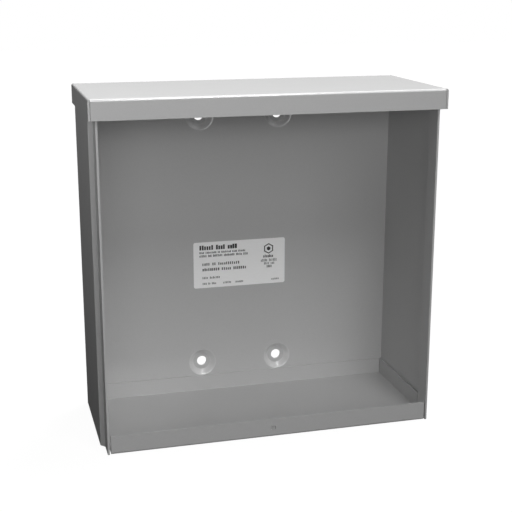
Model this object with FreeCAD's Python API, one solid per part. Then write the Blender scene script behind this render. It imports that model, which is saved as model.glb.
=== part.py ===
import FreeCAD, Part
import math
import os

# Outdoor sheet-steel electrical enclosure, 10 x 10 x 4 in class, shown open.
# Units are millimetres. +Z is up, +X is to the right as seen from the open
# front, and -Y points out of the open front.
# The origin is on the wall plane, at the centre of the four mounting holes:
# the embossed feet touch the wall at Y = 0.

# ---- driving dimensions -------------------------------------------------

WIDTH = 254.0                # outside width of the body wrapper
HEIGHT = 254.2               # height of the body wrapper
HOLES_TO_BOTTOM = 127.0      # from the centre of the mounting holes to the bottom edge
DEPTH = 103.2                # back panel's rear face to the side lips' front edges
SHEET = 1.45                 # steel sheet with its coating
BEND_INSIDE = 0.2            # inside radius of every bend
FLANGE = 14.29               # height of the bottom pan's flanges and lip
CAP_FLANGE = 14.5            # height of the drip cap's flanges and lip
SEAM = 0.05                  # gap from a bend's tangent line to the next lip's end

JOGGLE_START = 85.0          # where the side walls start to step inward
JOGGLE_END = 88.66           # where the step ends and the straight lip starts
JOGGLE_STEP = 3.175          # how far the lips stand in from the side walls, 1/8 in

HOLE_DIAMETER = 7.94         # mounting hole, 5/16 in
HOLE_SPACING_X = 63.5
HOLE_SPACING_Z = 203.2
FOOT_DEPTH = 3.5             # stand-off of the embossed feet behind the back panel
FOOT_MOUTH_RADIUS = 10.8     # dish at the panel, where its faces would meet
FOOT_FLOOR_RADIUS = 7.2      # dish at its flat floor, where its faces would meet
FOOT_BEND_INSIDE = 0.6       # the dish is drawn, so its bends are softer
FOOT_PATCH_RADIUS = 13.0     # disc of the back panel that is remade with the dish

CAP_SIDE_GAP = 0.2           # drip cap's side flanges to the side walls
CAP_REAR_GAP = 0.3           # drip cap's rear flange to the back panel

PAN_SIDE_GAP = 0.2           # bottom pan's side flanges to the side walls
PAN_FLANGE_END = 84.0        # how far forward the pan's side flanges run
PAN_TONGUE_WIDTH = 242.6     # the pan in front of its side flanges, and its lip
SCREW_HOLE_DIAMETER = 4.0    # for the cover's screw

LABEL_WIDTH = 76.2
LABEL_HEIGHT = 38.1
LABEL_THICKNESS = 0.25
LABEL_CORNER = 1.6

# ---- places that follow from them ---------------------------------------

BEND_OUTSIDE = BEND_INSIDE + SHEET
BACK = -FOOT_DEPTH                           # back panel's rear face
PANEL_FRONT = BACK - SHEET                   # back panel's front face
LIP_FRONT = BACK - DEPTH                     # front edges of the side lips
BOTTOM = -HOLES_TO_BOTTOM
TOP = BOTTOM + HEIGHT
WALL_X = WIDTH / 2                           # outer face of a side wall
LIP_X = WALL_X - JOGGLE_STEP                 # outer face of a side lip

# The cover's sheet lies on the side lips and the pan's lip, which are flush, and
# its top edge goes up between the side lips and the drip cap's lip.
PAN_FRONT = LIP_FRONT
CAP_FRONT = LIP_FRONT - 2 * SHEET

EPSILON = 1e-6
OVERLAP = 5.0                                # length by which joined strips run together


# ---- profiles of bent sheet ---------------------------------------------

def offset_path(path, distance):
    """Corner points of a run that lies to the left of an open path."""
    normals = []
    for start, end in zip(path, path[1:]):
        run = (end - start).normalize()
        normals.append(FreeCAD.Vector(-run.y, run.x, 0))
    moved = [path[0] + normals[0] * distance]
    for corner, before, after in zip(path[1:], normals, normals[1:]):
        mitre = before + after
        moved.append(corner + mitre * (2 * distance / mitre.Length ** 2))
    moved.append(path[-1] + normals[-1] * distance)
    return moved


def rounded_edges(path, radii):
    """Straight edges along an open path, with an arc of each radius at its corners."""
    edges = []
    last = path[0]
    for index, radius in enumerate(radii):
        corner = path[index + 1]
        into = (corner - path[index]).normalize()
        away = (path[index + 2] - corner).normalize()
        turn = into.getAngle(away)
        reach = radius * math.tan(turn / 2)
        start = corner - into * reach
        end = corner + away * reach
        inward = (away - into).normalize()
        middle = corner + inward * (radius / math.cos(turn / 2) - radius)
        if (start - last).Length > EPSILON:
            edges.append(Part.makeLine(last, start))
        edges.append(Part.Arc(start, middle, end).toShape())
        last = end
    edges.append(Part.makeLine(last, path[-1]))
    return edges


def bent_sheet(points, bend_inside=BEND_INSIDE):
    """Face of a bent sheet's section in XY, with the sheet to the left of its path."""
    path = [FreeCAD.Vector(x, y, 0) for x, y in points]
    other = offset_path(path, SHEET)
    near = []
    far = []
    for before, corner, after in zip(path, path[1:], path[2:]):
        left_turn = (corner - before).cross(after - corner).z > 0
        bend_outside = bend_inside + SHEET
        near.append(bend_outside if left_turn else bend_inside)
        far.append(bend_inside if left_turn else bend_outside)
    edges = rounded_edges(path, near)
    edges.append(Part.makeLine(path[-1], other[-1]))
    edges += reversed(rounded_edges(other, far))
    edges.append(Part.makeLine(other[0], path[0]))
    return Part.Face(Part.Wire(Part.__sortEdges__(edges)))


def along_x(face, half_length):
    """A section drawn as (Y, Z), run along X from side to side."""
    turned = face.copy()
    turned.rotate(FreeCAD.Vector(0, 0, 0), FreeCAD.Vector(1, 1, 1), 120)
    turned.translate(FreeCAD.Vector(-half_length, 0, 0))
    return turned.extrude(FreeCAD.Vector(2 * half_length, 0, 0))


def along_y(face, front, rear):
    """A section drawn as (X, Z), run along Y from front to rear."""
    turned = face.copy()
    turned.rotate(FreeCAD.Vector(0, 0, 0), FreeCAD.Vector(1, 0, 0), 90)
    turned.translate(FreeCAD.Vector(0, front, 0))
    return turned.extrude(FreeCAD.Vector(0, rear - front, 0))


def block(low, high):
    """Box between two corners."""
    size = FreeCAD.Vector(*high) - FreeCAD.Vector(*low)
    return Part.makeBox(size.x, size.y, size.z, FreeCAD.Vector(*low))


def drilled(radius, x, z, near, far):
    """Round cutter along Y at (x, z)."""
    return Part.makeCylinder(radius, far - near, FreeCAD.Vector(x, near, z),
                             FreeCAD.Vector(0, 1, 0))


# ---- body wrapper -------------------------------------------------------

def foot(x, z):
    """Embossed foot: a dish pressed rearward round a mounting hole."""
    floor = PANEL_FRONT + FOOT_DEPTH
    section = bent_sheet([(FOOT_PATCH_RADIUS, PANEL_FRONT),
                          (FOOT_MOUTH_RADIUS, PANEL_FRONT),
                          (FOOT_FLOOR_RADIUS, floor),
                          (HOLE_DIAMETER / 2, floor)][::-1], FOOT_BEND_INSIDE)
    solid = section.revolve(FreeCAD.Vector(0, 0, 0), FreeCAD.Vector(0, 1, 0), 360)
    solid.translate(FreeCAD.Vector(x, 0, z))
    return solid


def body_wrapper():
    """Back and both sides in one sheet, stepped inward to a lip at each front edge."""
    half_section = [(LIP_X, LIP_FRONT),
                    (LIP_X, BACK - JOGGLE_END),
                    (WALL_X, BACK - JOGGLE_START),
                    (WALL_X, BACK)]
    other_half = [(-x, y) for x, y in reversed(half_section)]
    section = bent_sheet(half_section + other_half)
    body = section.extrude(FreeCAD.Vector(0, 0, HEIGHT))
    body.translate(FreeCAD.Vector(0, 0, BOTTOM))
    for x in (-HOLE_SPACING_X / 2, HOLE_SPACING_X / 2):
        for z in (-HOLE_SPACING_Z / 2, HOLE_SPACING_Z / 2):
            body = body.cut(drilled(FOOT_PATCH_RADIUS, x, z, PANEL_FRONT, BACK))
            body = body.fuse(foot(x, z))
    return body.removeSplitter()


# ---- drip cap -----------------------------------------------------------

def drip_cap():
    """Top panel with a front lip, a rear flange and two side flanges, all turned down."""
    top = TOP + SHEET
    side = WALL_X + CAP_SIDE_GAP + SHEET
    rear = BACK + CAP_REAR_GAP + SHEET
    edge = top - CAP_FLANGE
    side_tangent = side - BEND_OUTSIDE
    half_lip = side_tangent - SEAM

    channel = along_y(bent_sheet([(side, edge), (side, top), (-side, top), (-side, edge)]),
                      CAP_FRONT, rear)
    for near, far in ((CAP_FRONT, CAP_FRONT + BEND_OUTSIDE), (rear - BEND_OUTSIDE, rear)):
        channel = channel.cut(block((-side_tangent, near, TOP), (side_tangent, far, top)))

    front_start = CAP_FRONT + BEND_OUTSIDE + OVERLAP
    rear_start = rear - BEND_OUTSIDE - OVERLAP
    lip = bent_sheet([(front_start, top), (CAP_FRONT, top), (CAP_FRONT, edge)])
    flange = bent_sheet([(rear, edge), (rear, top), (rear_start, top)])
    cap = channel.fuse([along_x(lip, half_lip), along_x(flange, half_lip)])
    return cap.removeSplitter()


# ---- bottom pan ---------------------------------------------------------

def bottom_pan():
    """Floor with side and back flanges inside the body, and a front lip for the cover."""
    edge = BOTTOM + FLANGE
    side = WALL_X - SHEET - PAN_SIDE_GAP
    flange_end = BACK - PAN_FLANGE_END
    rear = PANEL_FRONT
    side_tangent = side - BEND_OUTSIDE
    half_back = side_tangent - SEAM

    channel = along_y(bent_sheet([(-side, edge), (-side, BOTTOM), (side, BOTTOM), (side, edge)]),
                      flange_end, rear - PAN_SIDE_GAP)
    channel = channel.cut(block((-side_tangent, rear - BEND_OUTSIDE, BOTTOM),
                                (side_tangent, rear, BOTTOM + SHEET)))

    rear_start = rear - BEND_OUTSIDE - OVERLAP
    back_flange = bent_sheet([(rear_start, BOTTOM), (rear, BOTTOM), (rear, edge)])
    tongue = bent_sheet([(PAN_FRONT, edge), (PAN_FRONT, BOTTOM), (flange_end + OVERLAP, BOTTOM)])
    pan = channel.fuse([along_x(back_flange, half_back), along_x(tongue, PAN_TONGUE_WIDTH / 2)])
    hole = drilled(SCREW_HOLE_DIAMETER / 2, 0, BOTTOM + FLANGE / 2,
                   PAN_FRONT - OVERLAP, PAN_FRONT + OVERLAP)
    return pan.cut(hole).removeSplitter()


# ---- rating label -------------------------------------------------------

def rating_label():
    """Thin plate with round corners on the back panel, its top edge at mid-height."""
    plate = block((-LABEL_WIDTH / 2, PANEL_FRONT - LABEL_THICKNESS, -LABEL_HEIGHT),
                  (LABEL_WIDTH / 2, PANEL_FRONT, 0))
    corners = [edge for edge in plate.Edges
               if abs(edge.Vertexes[0].Y - edge.Vertexes[1].Y) > EPSILON]
    return plate.makeFillet(LABEL_CORNER, corners)


PIECES = {
    "body_wrapper": body_wrapper,
    "drip_cap": drip_cap,
    "bottom_pan": bottom_pan,
    "rating_label": rating_label,
}

os.makedirs("parts", exist_ok=True)
for name, make in PIECES.items():
    shape = make()
    if shape.ShapeType == "Compound" and len(shape.Solids) == 1:
        shape = shape.Solids[0]
    shape.exportStep("parts/" + name + ".step")
    print(name, shape.ShapeType, "valid", shape.isValid(), "solids", len(shape.Solids),
          "volume %.1f mm3" % shape.Volume, shape.BoundBox)
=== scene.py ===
import math
import random

import bmesh
import bpy
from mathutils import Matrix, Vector


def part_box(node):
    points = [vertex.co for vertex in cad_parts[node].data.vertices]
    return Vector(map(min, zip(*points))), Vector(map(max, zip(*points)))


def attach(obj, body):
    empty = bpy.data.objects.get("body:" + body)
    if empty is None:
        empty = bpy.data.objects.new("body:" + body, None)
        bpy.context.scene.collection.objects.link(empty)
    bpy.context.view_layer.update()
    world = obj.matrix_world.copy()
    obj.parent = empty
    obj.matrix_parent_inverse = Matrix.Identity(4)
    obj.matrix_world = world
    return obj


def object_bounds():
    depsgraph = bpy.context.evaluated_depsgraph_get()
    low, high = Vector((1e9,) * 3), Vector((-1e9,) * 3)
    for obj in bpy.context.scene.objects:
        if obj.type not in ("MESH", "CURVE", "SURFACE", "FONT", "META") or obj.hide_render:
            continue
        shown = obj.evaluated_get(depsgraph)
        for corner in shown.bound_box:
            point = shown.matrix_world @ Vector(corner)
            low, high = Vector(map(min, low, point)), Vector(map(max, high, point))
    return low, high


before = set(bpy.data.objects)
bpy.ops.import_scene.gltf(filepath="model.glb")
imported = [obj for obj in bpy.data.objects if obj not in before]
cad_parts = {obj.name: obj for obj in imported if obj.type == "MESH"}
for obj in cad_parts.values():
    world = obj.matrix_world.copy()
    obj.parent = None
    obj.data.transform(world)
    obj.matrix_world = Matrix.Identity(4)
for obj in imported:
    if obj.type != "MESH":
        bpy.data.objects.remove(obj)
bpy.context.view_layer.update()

# Lengths are in metres, in the CAD frame: +X right, -Y out of the open front, +Z up.
MM = 0.001

# ---- camera --------------------------------------------------------------

CAMERA_AZIMUTH = -15                     # degrees; the camera stands to the left of the front
CAMERA_ELEVATION = 15
CAMERA_DISTANCE = 811.3 * MM
AIM_BEHIND_LIPS = 50.16 * MM             # about the middle of the box
LENS = 74.81                             # LENS and SENSOR in millimetres, as Blender takes them
SENSOR = 36
LIP_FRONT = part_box("body_wrapper")[0].y
AIM = Vector((0, LIP_FRONT + AIM_BEHIND_LIPS, 0))

# ---- lights --------------------------------------------------------------

# name: azimuth from the front towards +X, elevation, distance, diameter, power in watts
SOFT_LAMPS = {
    "front": (0, 15, 1.0, 0.3, 1.4),
    "front_left": (-20, 15, 0.6, 0.3, 0.65),
    "front_top": (15, 55, 1.0, 0.3, 3.2),
    "left": (-90, 30, 0.6, 0.3, 0.6),
}
# name: azimuth, elevation, strength; all as wide as SUN_ANGLE
SUN_ANGLE = math.radians(34)
SUNS = {
    "sky_front_right": (20, 20, 0.42),
    "sky_back_right": (120, 60, 5.3),
}
MATTE_LIGHTS = ("sky_back_right",)       # these give no highlights
WORLD_STRENGTH = 0.01

# ---- finishes ------------------------------------------------------------

# Tones are linear greys. A relief is the width of its features and their height.
NOISE_MIDDLE = 0.5
NOISE_SWING = 0.25                       # how far it goes from the middle to reach a full change
FAINT = (0.98, 1.02)                     # darkest and lightest, as shares of the tone

PAINT_TONE = 0.5
PAINT_ROUGHNESS = 0.5
PAINT_ROUGHNESS_CHANGE = 0.03
PAINT_SPECULAR = 0.2
PAINT_COAT = 0.3                         # on flat faces
PAINT_COAT_IOR = 2.2
PAINT_COAT_ROUGHNESS = 0.15
PAINT_GRAIN = 0.9 * MM
PAINT_DRIFT = 22 * MM
PAINT_PEEL = (1.6 * MM, 0.02 * MM)       # relief
PAINT_TOOTH = (0.5 * MM, 0.004 * MM)     # relief

BEND_COAT = 0.7                          # bends, steps and dish walls are glossier
BEND_PAINTED_LIGHT = 1.3                          # and painted this many times lighter, a painted highlight
FLATNESS_OF_FACES = 0.995                # flatness at which a face counts as flat
FLATNESS_OF_BENDS = 0.96                 # and at which it counts as a bend
PLAIN_BENDS = ("bottom_pan",)            # nodes whose bends keep the flat faces' gloss and get no painted highlight

FILM_TONE = 0.95
FILM_ROUGHNESS = 0.5
FILM_ROUGHNESS_CHANGE = 0.05
FILM_GRAIN = 0.5 * MM
FILM_STRETCH = (0.15, 1, 1)              # draws the grain out along X
FILM_DRIFT = 4 * MM
FILM_TOOTH = (0.6 * MM, 0.002 * MM)      # relief

INK_TONE = 0.03
INK_COVER = (0.6, 1.6)                   # where the cover is full and thin, as shares of the tone
INK_ROUGHNESS = 0.6
INK_ROUGHNESS_CHANGE = 0.1
INK_GRAIN = 0.4 * MM
INK_DRIFT = 1.5 * MM


def direction(azimuth, elevation):
    """Unit vector from the object, with azimuth 0 out of the open front and 90 to the right."""
    turn = math.radians(azimuth)
    rise = math.radians(elevation)
    return Vector((math.sin(turn) * math.cos(rise), -math.cos(turn) * math.cos(rise), math.sin(rise)))


def add_object(name, data):
    thing = bpy.data.objects.new(name, data)
    bpy.context.scene.collection.objects.link(thing)
    return thing


def look_from(thing, away):
    """Turns a camera or lamp, which looks along its own -Z, to look back along away."""
    thing.rotation_mode = "QUATERNION"
    thing.rotation_quaternion = away.to_track_quat("Z", "Y")


def make_camera():
    data = bpy.data.cameras.new("camera")
    data.lens = LENS
    data.sensor_width = SENSOR
    camera = add_object("camera", data)
    away = direction(CAMERA_AZIMUTH, CAMERA_ELEVATION)
    camera.location = AIM + away * CAMERA_DISTANCE
    look_from(camera, away)
    bpy.context.scene.camera = camera


def make_lights():
    for name, (azimuth, elevation, distance, diameter, power) in SOFT_LAMPS.items():
        data = bpy.data.lights.new(name, "AREA")
        data.shape = "DISK"
        data.size = diameter
        data.energy = power
        lamp = add_object(name, data)
        away = direction(azimuth, elevation)
        lamp.location = AIM + away * distance
        look_from(lamp, away)
        lamp.visible_camera = False
    for name, (azimuth, elevation, strength) in SUNS.items():
        data = bpy.data.lights.new(name, "SUN")
        data.angle = SUN_ANGLE
        data.energy = strength
        lamp = add_object(name, data)
        look_from(lamp, direction(azimuth, elevation))
        lamp.visible_glossy = name not in MATTE_LIGHTS


def make_world():
    """White behind everything that the camera sees, and a faint even fill on the object."""
    world = bpy.data.worlds.new("studio")
    bpy.context.scene.world = world
    world.use_nodes = True
    tree = world.node_tree
    background = tree.nodes["Background"]
    background.inputs["Color"].default_value = (1, 1, 1, 1)
    ray = tree.nodes.new("ShaderNodeLightPath")
    strength = tree.nodes.new("ShaderNodeMapRange")
    strength.inputs["To Min"].default_value = WORLD_STRENGTH
    strength.inputs["To Max"].default_value = 1.0
    tree.links.new(ray.outputs["Is Camera Ray"], strength.inputs["Value"])
    tree.links.new(strength.outputs["Result"], background.inputs["Strength"])
    bpy.context.scene.view_settings.view_transform = "Standard"


# ---- materials -----------------------------------------------------------

def new_material(name, tone, roughness):
    """Principled material in one grey, with its node tree and its shader."""
    material = bpy.data.materials.new(name)
    material.use_nodes = True
    shader = material.node_tree.nodes["Principled BSDF"]
    shader.inputs["Base Color"].default_value = (tone, tone, tone, 1)
    shader.inputs["Roughness"].default_value = roughness
    return material, material.node_tree, shader


def noise(tree, size, stretch=(1, 1, 1)):
    """Noise whose features are about size across, fixed to the object."""
    place = tree.nodes.new("ShaderNodeTexCoord")
    mapping = tree.nodes.new("ShaderNodeMapping")
    mapping.inputs["Scale"].default_value = stretch
    texture = tree.nodes.new("ShaderNodeTexNoise")
    texture.inputs["Scale"].default_value = 1 / size
    tree.links.new(place.outputs["Object"], mapping.inputs["Vector"])
    tree.links.new(mapping.outputs["Vector"], texture.inputs["Vector"])
    return texture.outputs["Fac"]


def vary(tree, value, middle, change, socket):
    """Drives a number socket to either side of middle by change, as the noise swings."""
    spread = tree.nodes.new("ShaderNodeMapRange")
    spread.inputs["From Min"].default_value = NOISE_MIDDLE - NOISE_SWING
    spread.inputs["From Max"].default_value = NOISE_MIDDLE + NOISE_SWING
    spread.inputs["To Min"].default_value = middle - change
    spread.inputs["To Max"].default_value = middle + change
    tree.links.new(value, spread.inputs["Value"])
    tree.links.new(spread.outputs["Result"], socket)


def tint(tree, value, tone, shares, socket):
    """Drives a colour socket between two shares of a grey as the noise swings."""
    ramp = tree.nodes.new("ShaderNodeValToRGB")
    for stop, side, share in zip(ramp.color_ramp.elements, (-1, 1), shares):
        stop.position = NOISE_MIDDLE + side * NOISE_SWING
        stop.color = (share * tone, share * tone, share * tone, 1)
    tree.links.new(value, ramp.inputs["Fac"])
    tree.links.new(ramp.outputs["Color"], socket)


def emboss(tree, relief, shader, below=None):
    """Bump of a feature width and a real height, laid over an earlier bump when there is one."""
    width, height = relief
    bump = tree.nodes.new("ShaderNodeBump")
    bump.inputs["Strength"].default_value = 1.0
    bump.inputs["Distance"].default_value = height
    tree.links.new(noise(tree, width), bump.inputs["Height"])
    if below is not None:
        tree.links.new(below.outputs["Normal"], bump.inputs["Normal"])
    tree.links.new(bump.outputs["Normal"], shader.inputs["Normal"])
    return bump


def flatness(tree):
    """Largest part of the surface's direction: 1 on faces square to an axis, less on bends."""
    place = tree.nodes.new("ShaderNodeTexCoord")
    size = tree.nodes.new("ShaderNodeVectorMath")
    size.operation = "ABSOLUTE"
    parts = tree.nodes.new("ShaderNodeSeparateXYZ")
    tree.links.new(place.outputs["Normal"], size.inputs[0])
    tree.links.new(size.outputs["Vector"], parts.inputs["Vector"])
    largest = parts.outputs["X"]
    for axis in ("Y", "Z"):
        larger = tree.nodes.new("ShaderNodeMath")
        larger.operation = "MAXIMUM"
        tree.links.new(largest, larger.inputs[0])
        tree.links.new(parts.outputs[axis], larger.inputs[1])
        largest = larger.outputs["Value"]
    return largest


def on_bends(tree, flat, bent, socket):
    """Drives a number socket from its value on flat faces to its value on bends."""
    spread = tree.nodes.new("ShaderNodeMapRange")
    spread.inputs["From Min"].default_value = FLATNESS_OF_FACES
    spread.inputs["From Max"].default_value = FLATNESS_OF_BENDS
    spread.inputs["To Min"].default_value = flat
    spread.inputs["To Max"].default_value = bent
    tree.links.new(flatness(tree), spread.inputs["Value"])
    tree.links.new(spread.outputs["Result"], socket)


def paint_light_on_bends(tree, socket):
    """Puts a step before a colour socket that paints bends lighter as a painted highlight, and returns
    the step's own socket.
    """
    painted_light = tree.nodes.new("ShaderNodeVectorMath")
    painted_light.operation = "SCALE"
    on_bends(tree, 1.0, BEND_PAINTED_LIGHT, painted_light.inputs["Scale"])
    tree.links.new(painted_light.outputs["Vector"], socket)
    return painted_light.inputs[0]


def powder_coat(name, gloss_and_painted_light_on_bends):
    """Semi-matte powder coat: orange peel, finer grain, and a slow drift in gloss; optionally glossier
    bends with a painted highlight.
    """
    material, tree, shader = new_material(name, PAINT_TONE, PAINT_ROUGHNESS)
    shader.inputs["Specular IOR Level"].default_value = PAINT_SPECULAR
    shader.inputs["Coat Weight"].default_value = PAINT_COAT
    shader.inputs["Coat IOR"].default_value = PAINT_COAT_IOR
    shader.inputs["Coat Roughness"].default_value = PAINT_COAT_ROUGHNESS
    colour = shader.inputs["Base Color"]
    # bends get a glossier coat, and their base colour is painted lighter as a painted highlight
    if gloss_and_painted_light_on_bends:
        on_bends(tree, PAINT_COAT, BEND_COAT, shader.inputs["Coat Weight"])
        colour = paint_light_on_bends(tree, colour)
    tint(tree, noise(tree, PAINT_GRAIN), PAINT_TONE, FAINT, colour)
    vary(tree, noise(tree, PAINT_DRIFT), PAINT_ROUGHNESS, PAINT_ROUGHNESS_CHANGE,
         shader.inputs["Roughness"])
    peel = emboss(tree, PAINT_PEEL, shader)
    emboss(tree, PAINT_TOOTH, shader, below=peel)
    return material


def label_film():
    """Satin film with a faint grain drawn out along its length."""
    material, tree, shader = new_material("label_film", FILM_TONE, FILM_ROUGHNESS)
    tint(tree, noise(tree, FILM_GRAIN, FILM_STRETCH), FILM_TONE, FAINT, shader.inputs["Base Color"])
    vary(tree, noise(tree, FILM_DRIFT), FILM_ROUGHNESS, FILM_ROUGHNESS_CHANGE,
         shader.inputs["Roughness"])
    emboss(tree, FILM_TOOTH, shader)
    return material


def label_ink():
    """Printed ink, a little uneven in cover."""
    material, tree, shader = new_material("label_ink", INK_TONE, INK_ROUGHNESS)
    tint(tree, noise(tree, INK_GRAIN), INK_TONE, INK_COVER, shader.inputs["Base Color"])
    vary(tree, noise(tree, INK_DRIFT), INK_ROUGHNESS, INK_ROUGHNESS_CHANGE, shader.inputs["Roughness"])
    return material


def stage_floor():
    """Pale floor that stays near white under the object."""
    material, tree, shader = new_material("stage_floor", FLOOR_TONE, FLOOR_ROUGHNESS)
    shader.inputs["Emission Color"].default_value = (1, 1, 1, 1)
    shader.inputs["Emission Strength"].default_value = FLOOR_GLOW
    return material


# ---- printing on the label -----------------------------------------------

INK_HEIGHT = 0.02 * MM
# Rows of stand-in words: left, top and bottom edge as fractions of the label's
# width and height, letter pitch as a fraction of its width, share of the pitch
# that is inked, and the number of letters in each word.
PRINT_ROWS = (
    (0.065, 0.070, 0.170, 0.0255, 0.80, (6, 4, 4)),
    (0.065, 0.210, 0.250, 0.0132, 0.62, (4, 9, 2, 8, 4, 6)),
    (0.065, 0.275, 0.325, 0.0132, 0.62, (6, 3, 8, 9, 5, 4)),
    (0.095, 0.453, 0.512, 0.0215, 0.55, (4, 2, 11)),
    (0.095, 0.570, 0.630, 0.0210, 0.60, (9, 5, 7)),
    (0.095, 0.757, 0.803, 0.0160, 0.50, (4, 7)),
    (0.095, 0.887, 0.930, 0.0125, 0.55, (4, 2, 4)),
    (0.321, 0.887, 0.930, 0.0150, 0.50, (6,)),
    (0.455, 0.890, 0.930, 0.0125, 0.55, (7,)),
    (0.761, 0.360, 0.420, 0.0160, 0.68, (7,)),
    (0.736, 0.450, 0.510, 0.0150, 0.45, (5, 6)),
    (0.770, 0.525, 0.575, 0.0150, 0.45, (4, 3)),
    (0.800, 0.590, 0.645, 0.0145, 0.60, (4,)),
    (0.853, 0.890, 0.925, 0.0125, 0.50, (7,)),
)
BLOCK_WIDTH_CHANGE = 0.15                # share by which a block gets narrower and wider
BLOCK_DROPS = (0, 0, 0, 0.12, 0.2)       # how far a block's top may start down its row
MARK_CENTRE = (0.82, 0.224)              # plain mark, as fractions of the label
MARK_SIDES = 6
MARK_RADIUS = 4.4 * MM
MARK_LINE = 0.95 * MM
MARK_CORE = 1.7 * MM
SEED = 7


def prism(mesh, outline, front, rear):
    """Closed prism with its outline in XZ, running along Y from front to rear."""
    near = [mesh.verts.new((x, front, z)) for x, z in outline]
    far = [mesh.verts.new((x, rear, z)) for x, z in outline]
    mesh.faces.new(near)
    mesh.faces.new(far[::-1])
    count = len(outline)
    for index in range(count):
        after = (index + 1) % count
        mesh.faces.new((near[index], far[index], far[after], near[after]))


def polygon(centre, radius, sides):
    """Corners of a regular polygon, anticlockwise in XZ."""
    turns = [2 * math.pi * (index + 0.5) / sides for index in range(sides)]
    return [(centre[0] + radius * math.cos(turn), centre[1] + radius * math.sin(turn)) for turn in turns]


def ring(mesh, centre, radius, width, front, rear, sides):
    """Closed flat ring with straight sides, running along Y from front to rear."""
    loops = []
    for reach, y in ((radius, front), (radius, rear), (radius - width, rear), (radius - width, front)):
        loops.append([mesh.verts.new((x, y, z)) for x, z in polygon(centre, reach, sides)])
    for index in range(sides):
        after = (index + 1) % sides
        for loop, other in zip(loops, loops[1:] + loops[:1]):
            mesh.faces.new((loop[index], other[index], other[after], loop[after]))


def label_print(ink):
    """Rows of small blocks where the label has words, and a plain six-sided mark."""
    low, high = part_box("rating_label")
    width = high.x - low.x
    height = high.z - low.z
    rear = low.y
    front = low.y - INK_HEIGHT
    chance = random.Random(SEED)
    mesh = bmesh.new()
    for left, top, bottom, pitch, inked, words in PRINT_ROWS:
        place = left
        for letters in words:
            for _ in range(letters):
                spread = chance.uniform(1 - BLOCK_WIDTH_CHANGE, 1 + BLOCK_WIDTH_CHANGE)
                right = place + pitch * inked * spread
                drop = (bottom - top) * chance.choice(BLOCK_DROPS)
                corners = ((place, top + drop), (right, top + drop), (right, bottom), (place, bottom))
                prism(mesh, [(low.x + u * width, high.z - v * height) for u, v in corners], front, rear)
                place += pitch
            place += pitch
    centre = (low.x + MARK_CENTRE[0] * width, high.z - MARK_CENTRE[1] * height)
    ring(mesh, centre, MARK_RADIUS, MARK_LINE, front, rear, MARK_SIDES)
    prism(mesh, polygon(centre, MARK_CORE, MARK_SIDES), front, rear)
    bmesh.ops.recalc_face_normals(mesh, faces=mesh.faces)
    data = bpy.data.meshes.new("label_print")
    mesh.to_mesh(data)
    mesh.free()
    data.materials.append(ink)
    thing = add_object("label_print", data)
    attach(thing, "root")


# ---- stage ---------------------------------------------------------------

FLOOR_SIZE = 8.0
FLOOR_GAP = 0.2 * MM
FLOOR_TONE = 0.04
FLOOR_ROUGHNESS = 0.9
FLOOR_GLOW = 0.96


def make_floor():
    """Large pale floor just under the object, which doesn't colour the object."""
    mesh = bmesh.new()
    bmesh.ops.create_grid(mesh, x_segments=1, y_segments=1, size=FLOOR_SIZE / 2)
    data = bpy.data.meshes.new("floor")
    mesh.to_mesh(data)
    mesh.free()
    data.materials.append(stage_floor())
    floor = add_object("floor", data)
    floor.location.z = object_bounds()[0][2] - FLOOR_GAP
    floor.visible_diffuse = False
    floor.visible_glossy = False


make_camera()
make_lights()
make_world()

paint = powder_coat("powder_coat", gloss_and_painted_light_on_bends=True)
finish = {"rating_label": label_film()}
for node in PLAIN_BENDS:
    finish[node] = powder_coat("powder_coat_" + node, gloss_and_painted_light_on_bends=False)
for node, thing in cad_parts.items():
    for slot in thing.material_slots:
        slot.material = finish.get(node, paint)
label_print(label_ink())
make_floor()
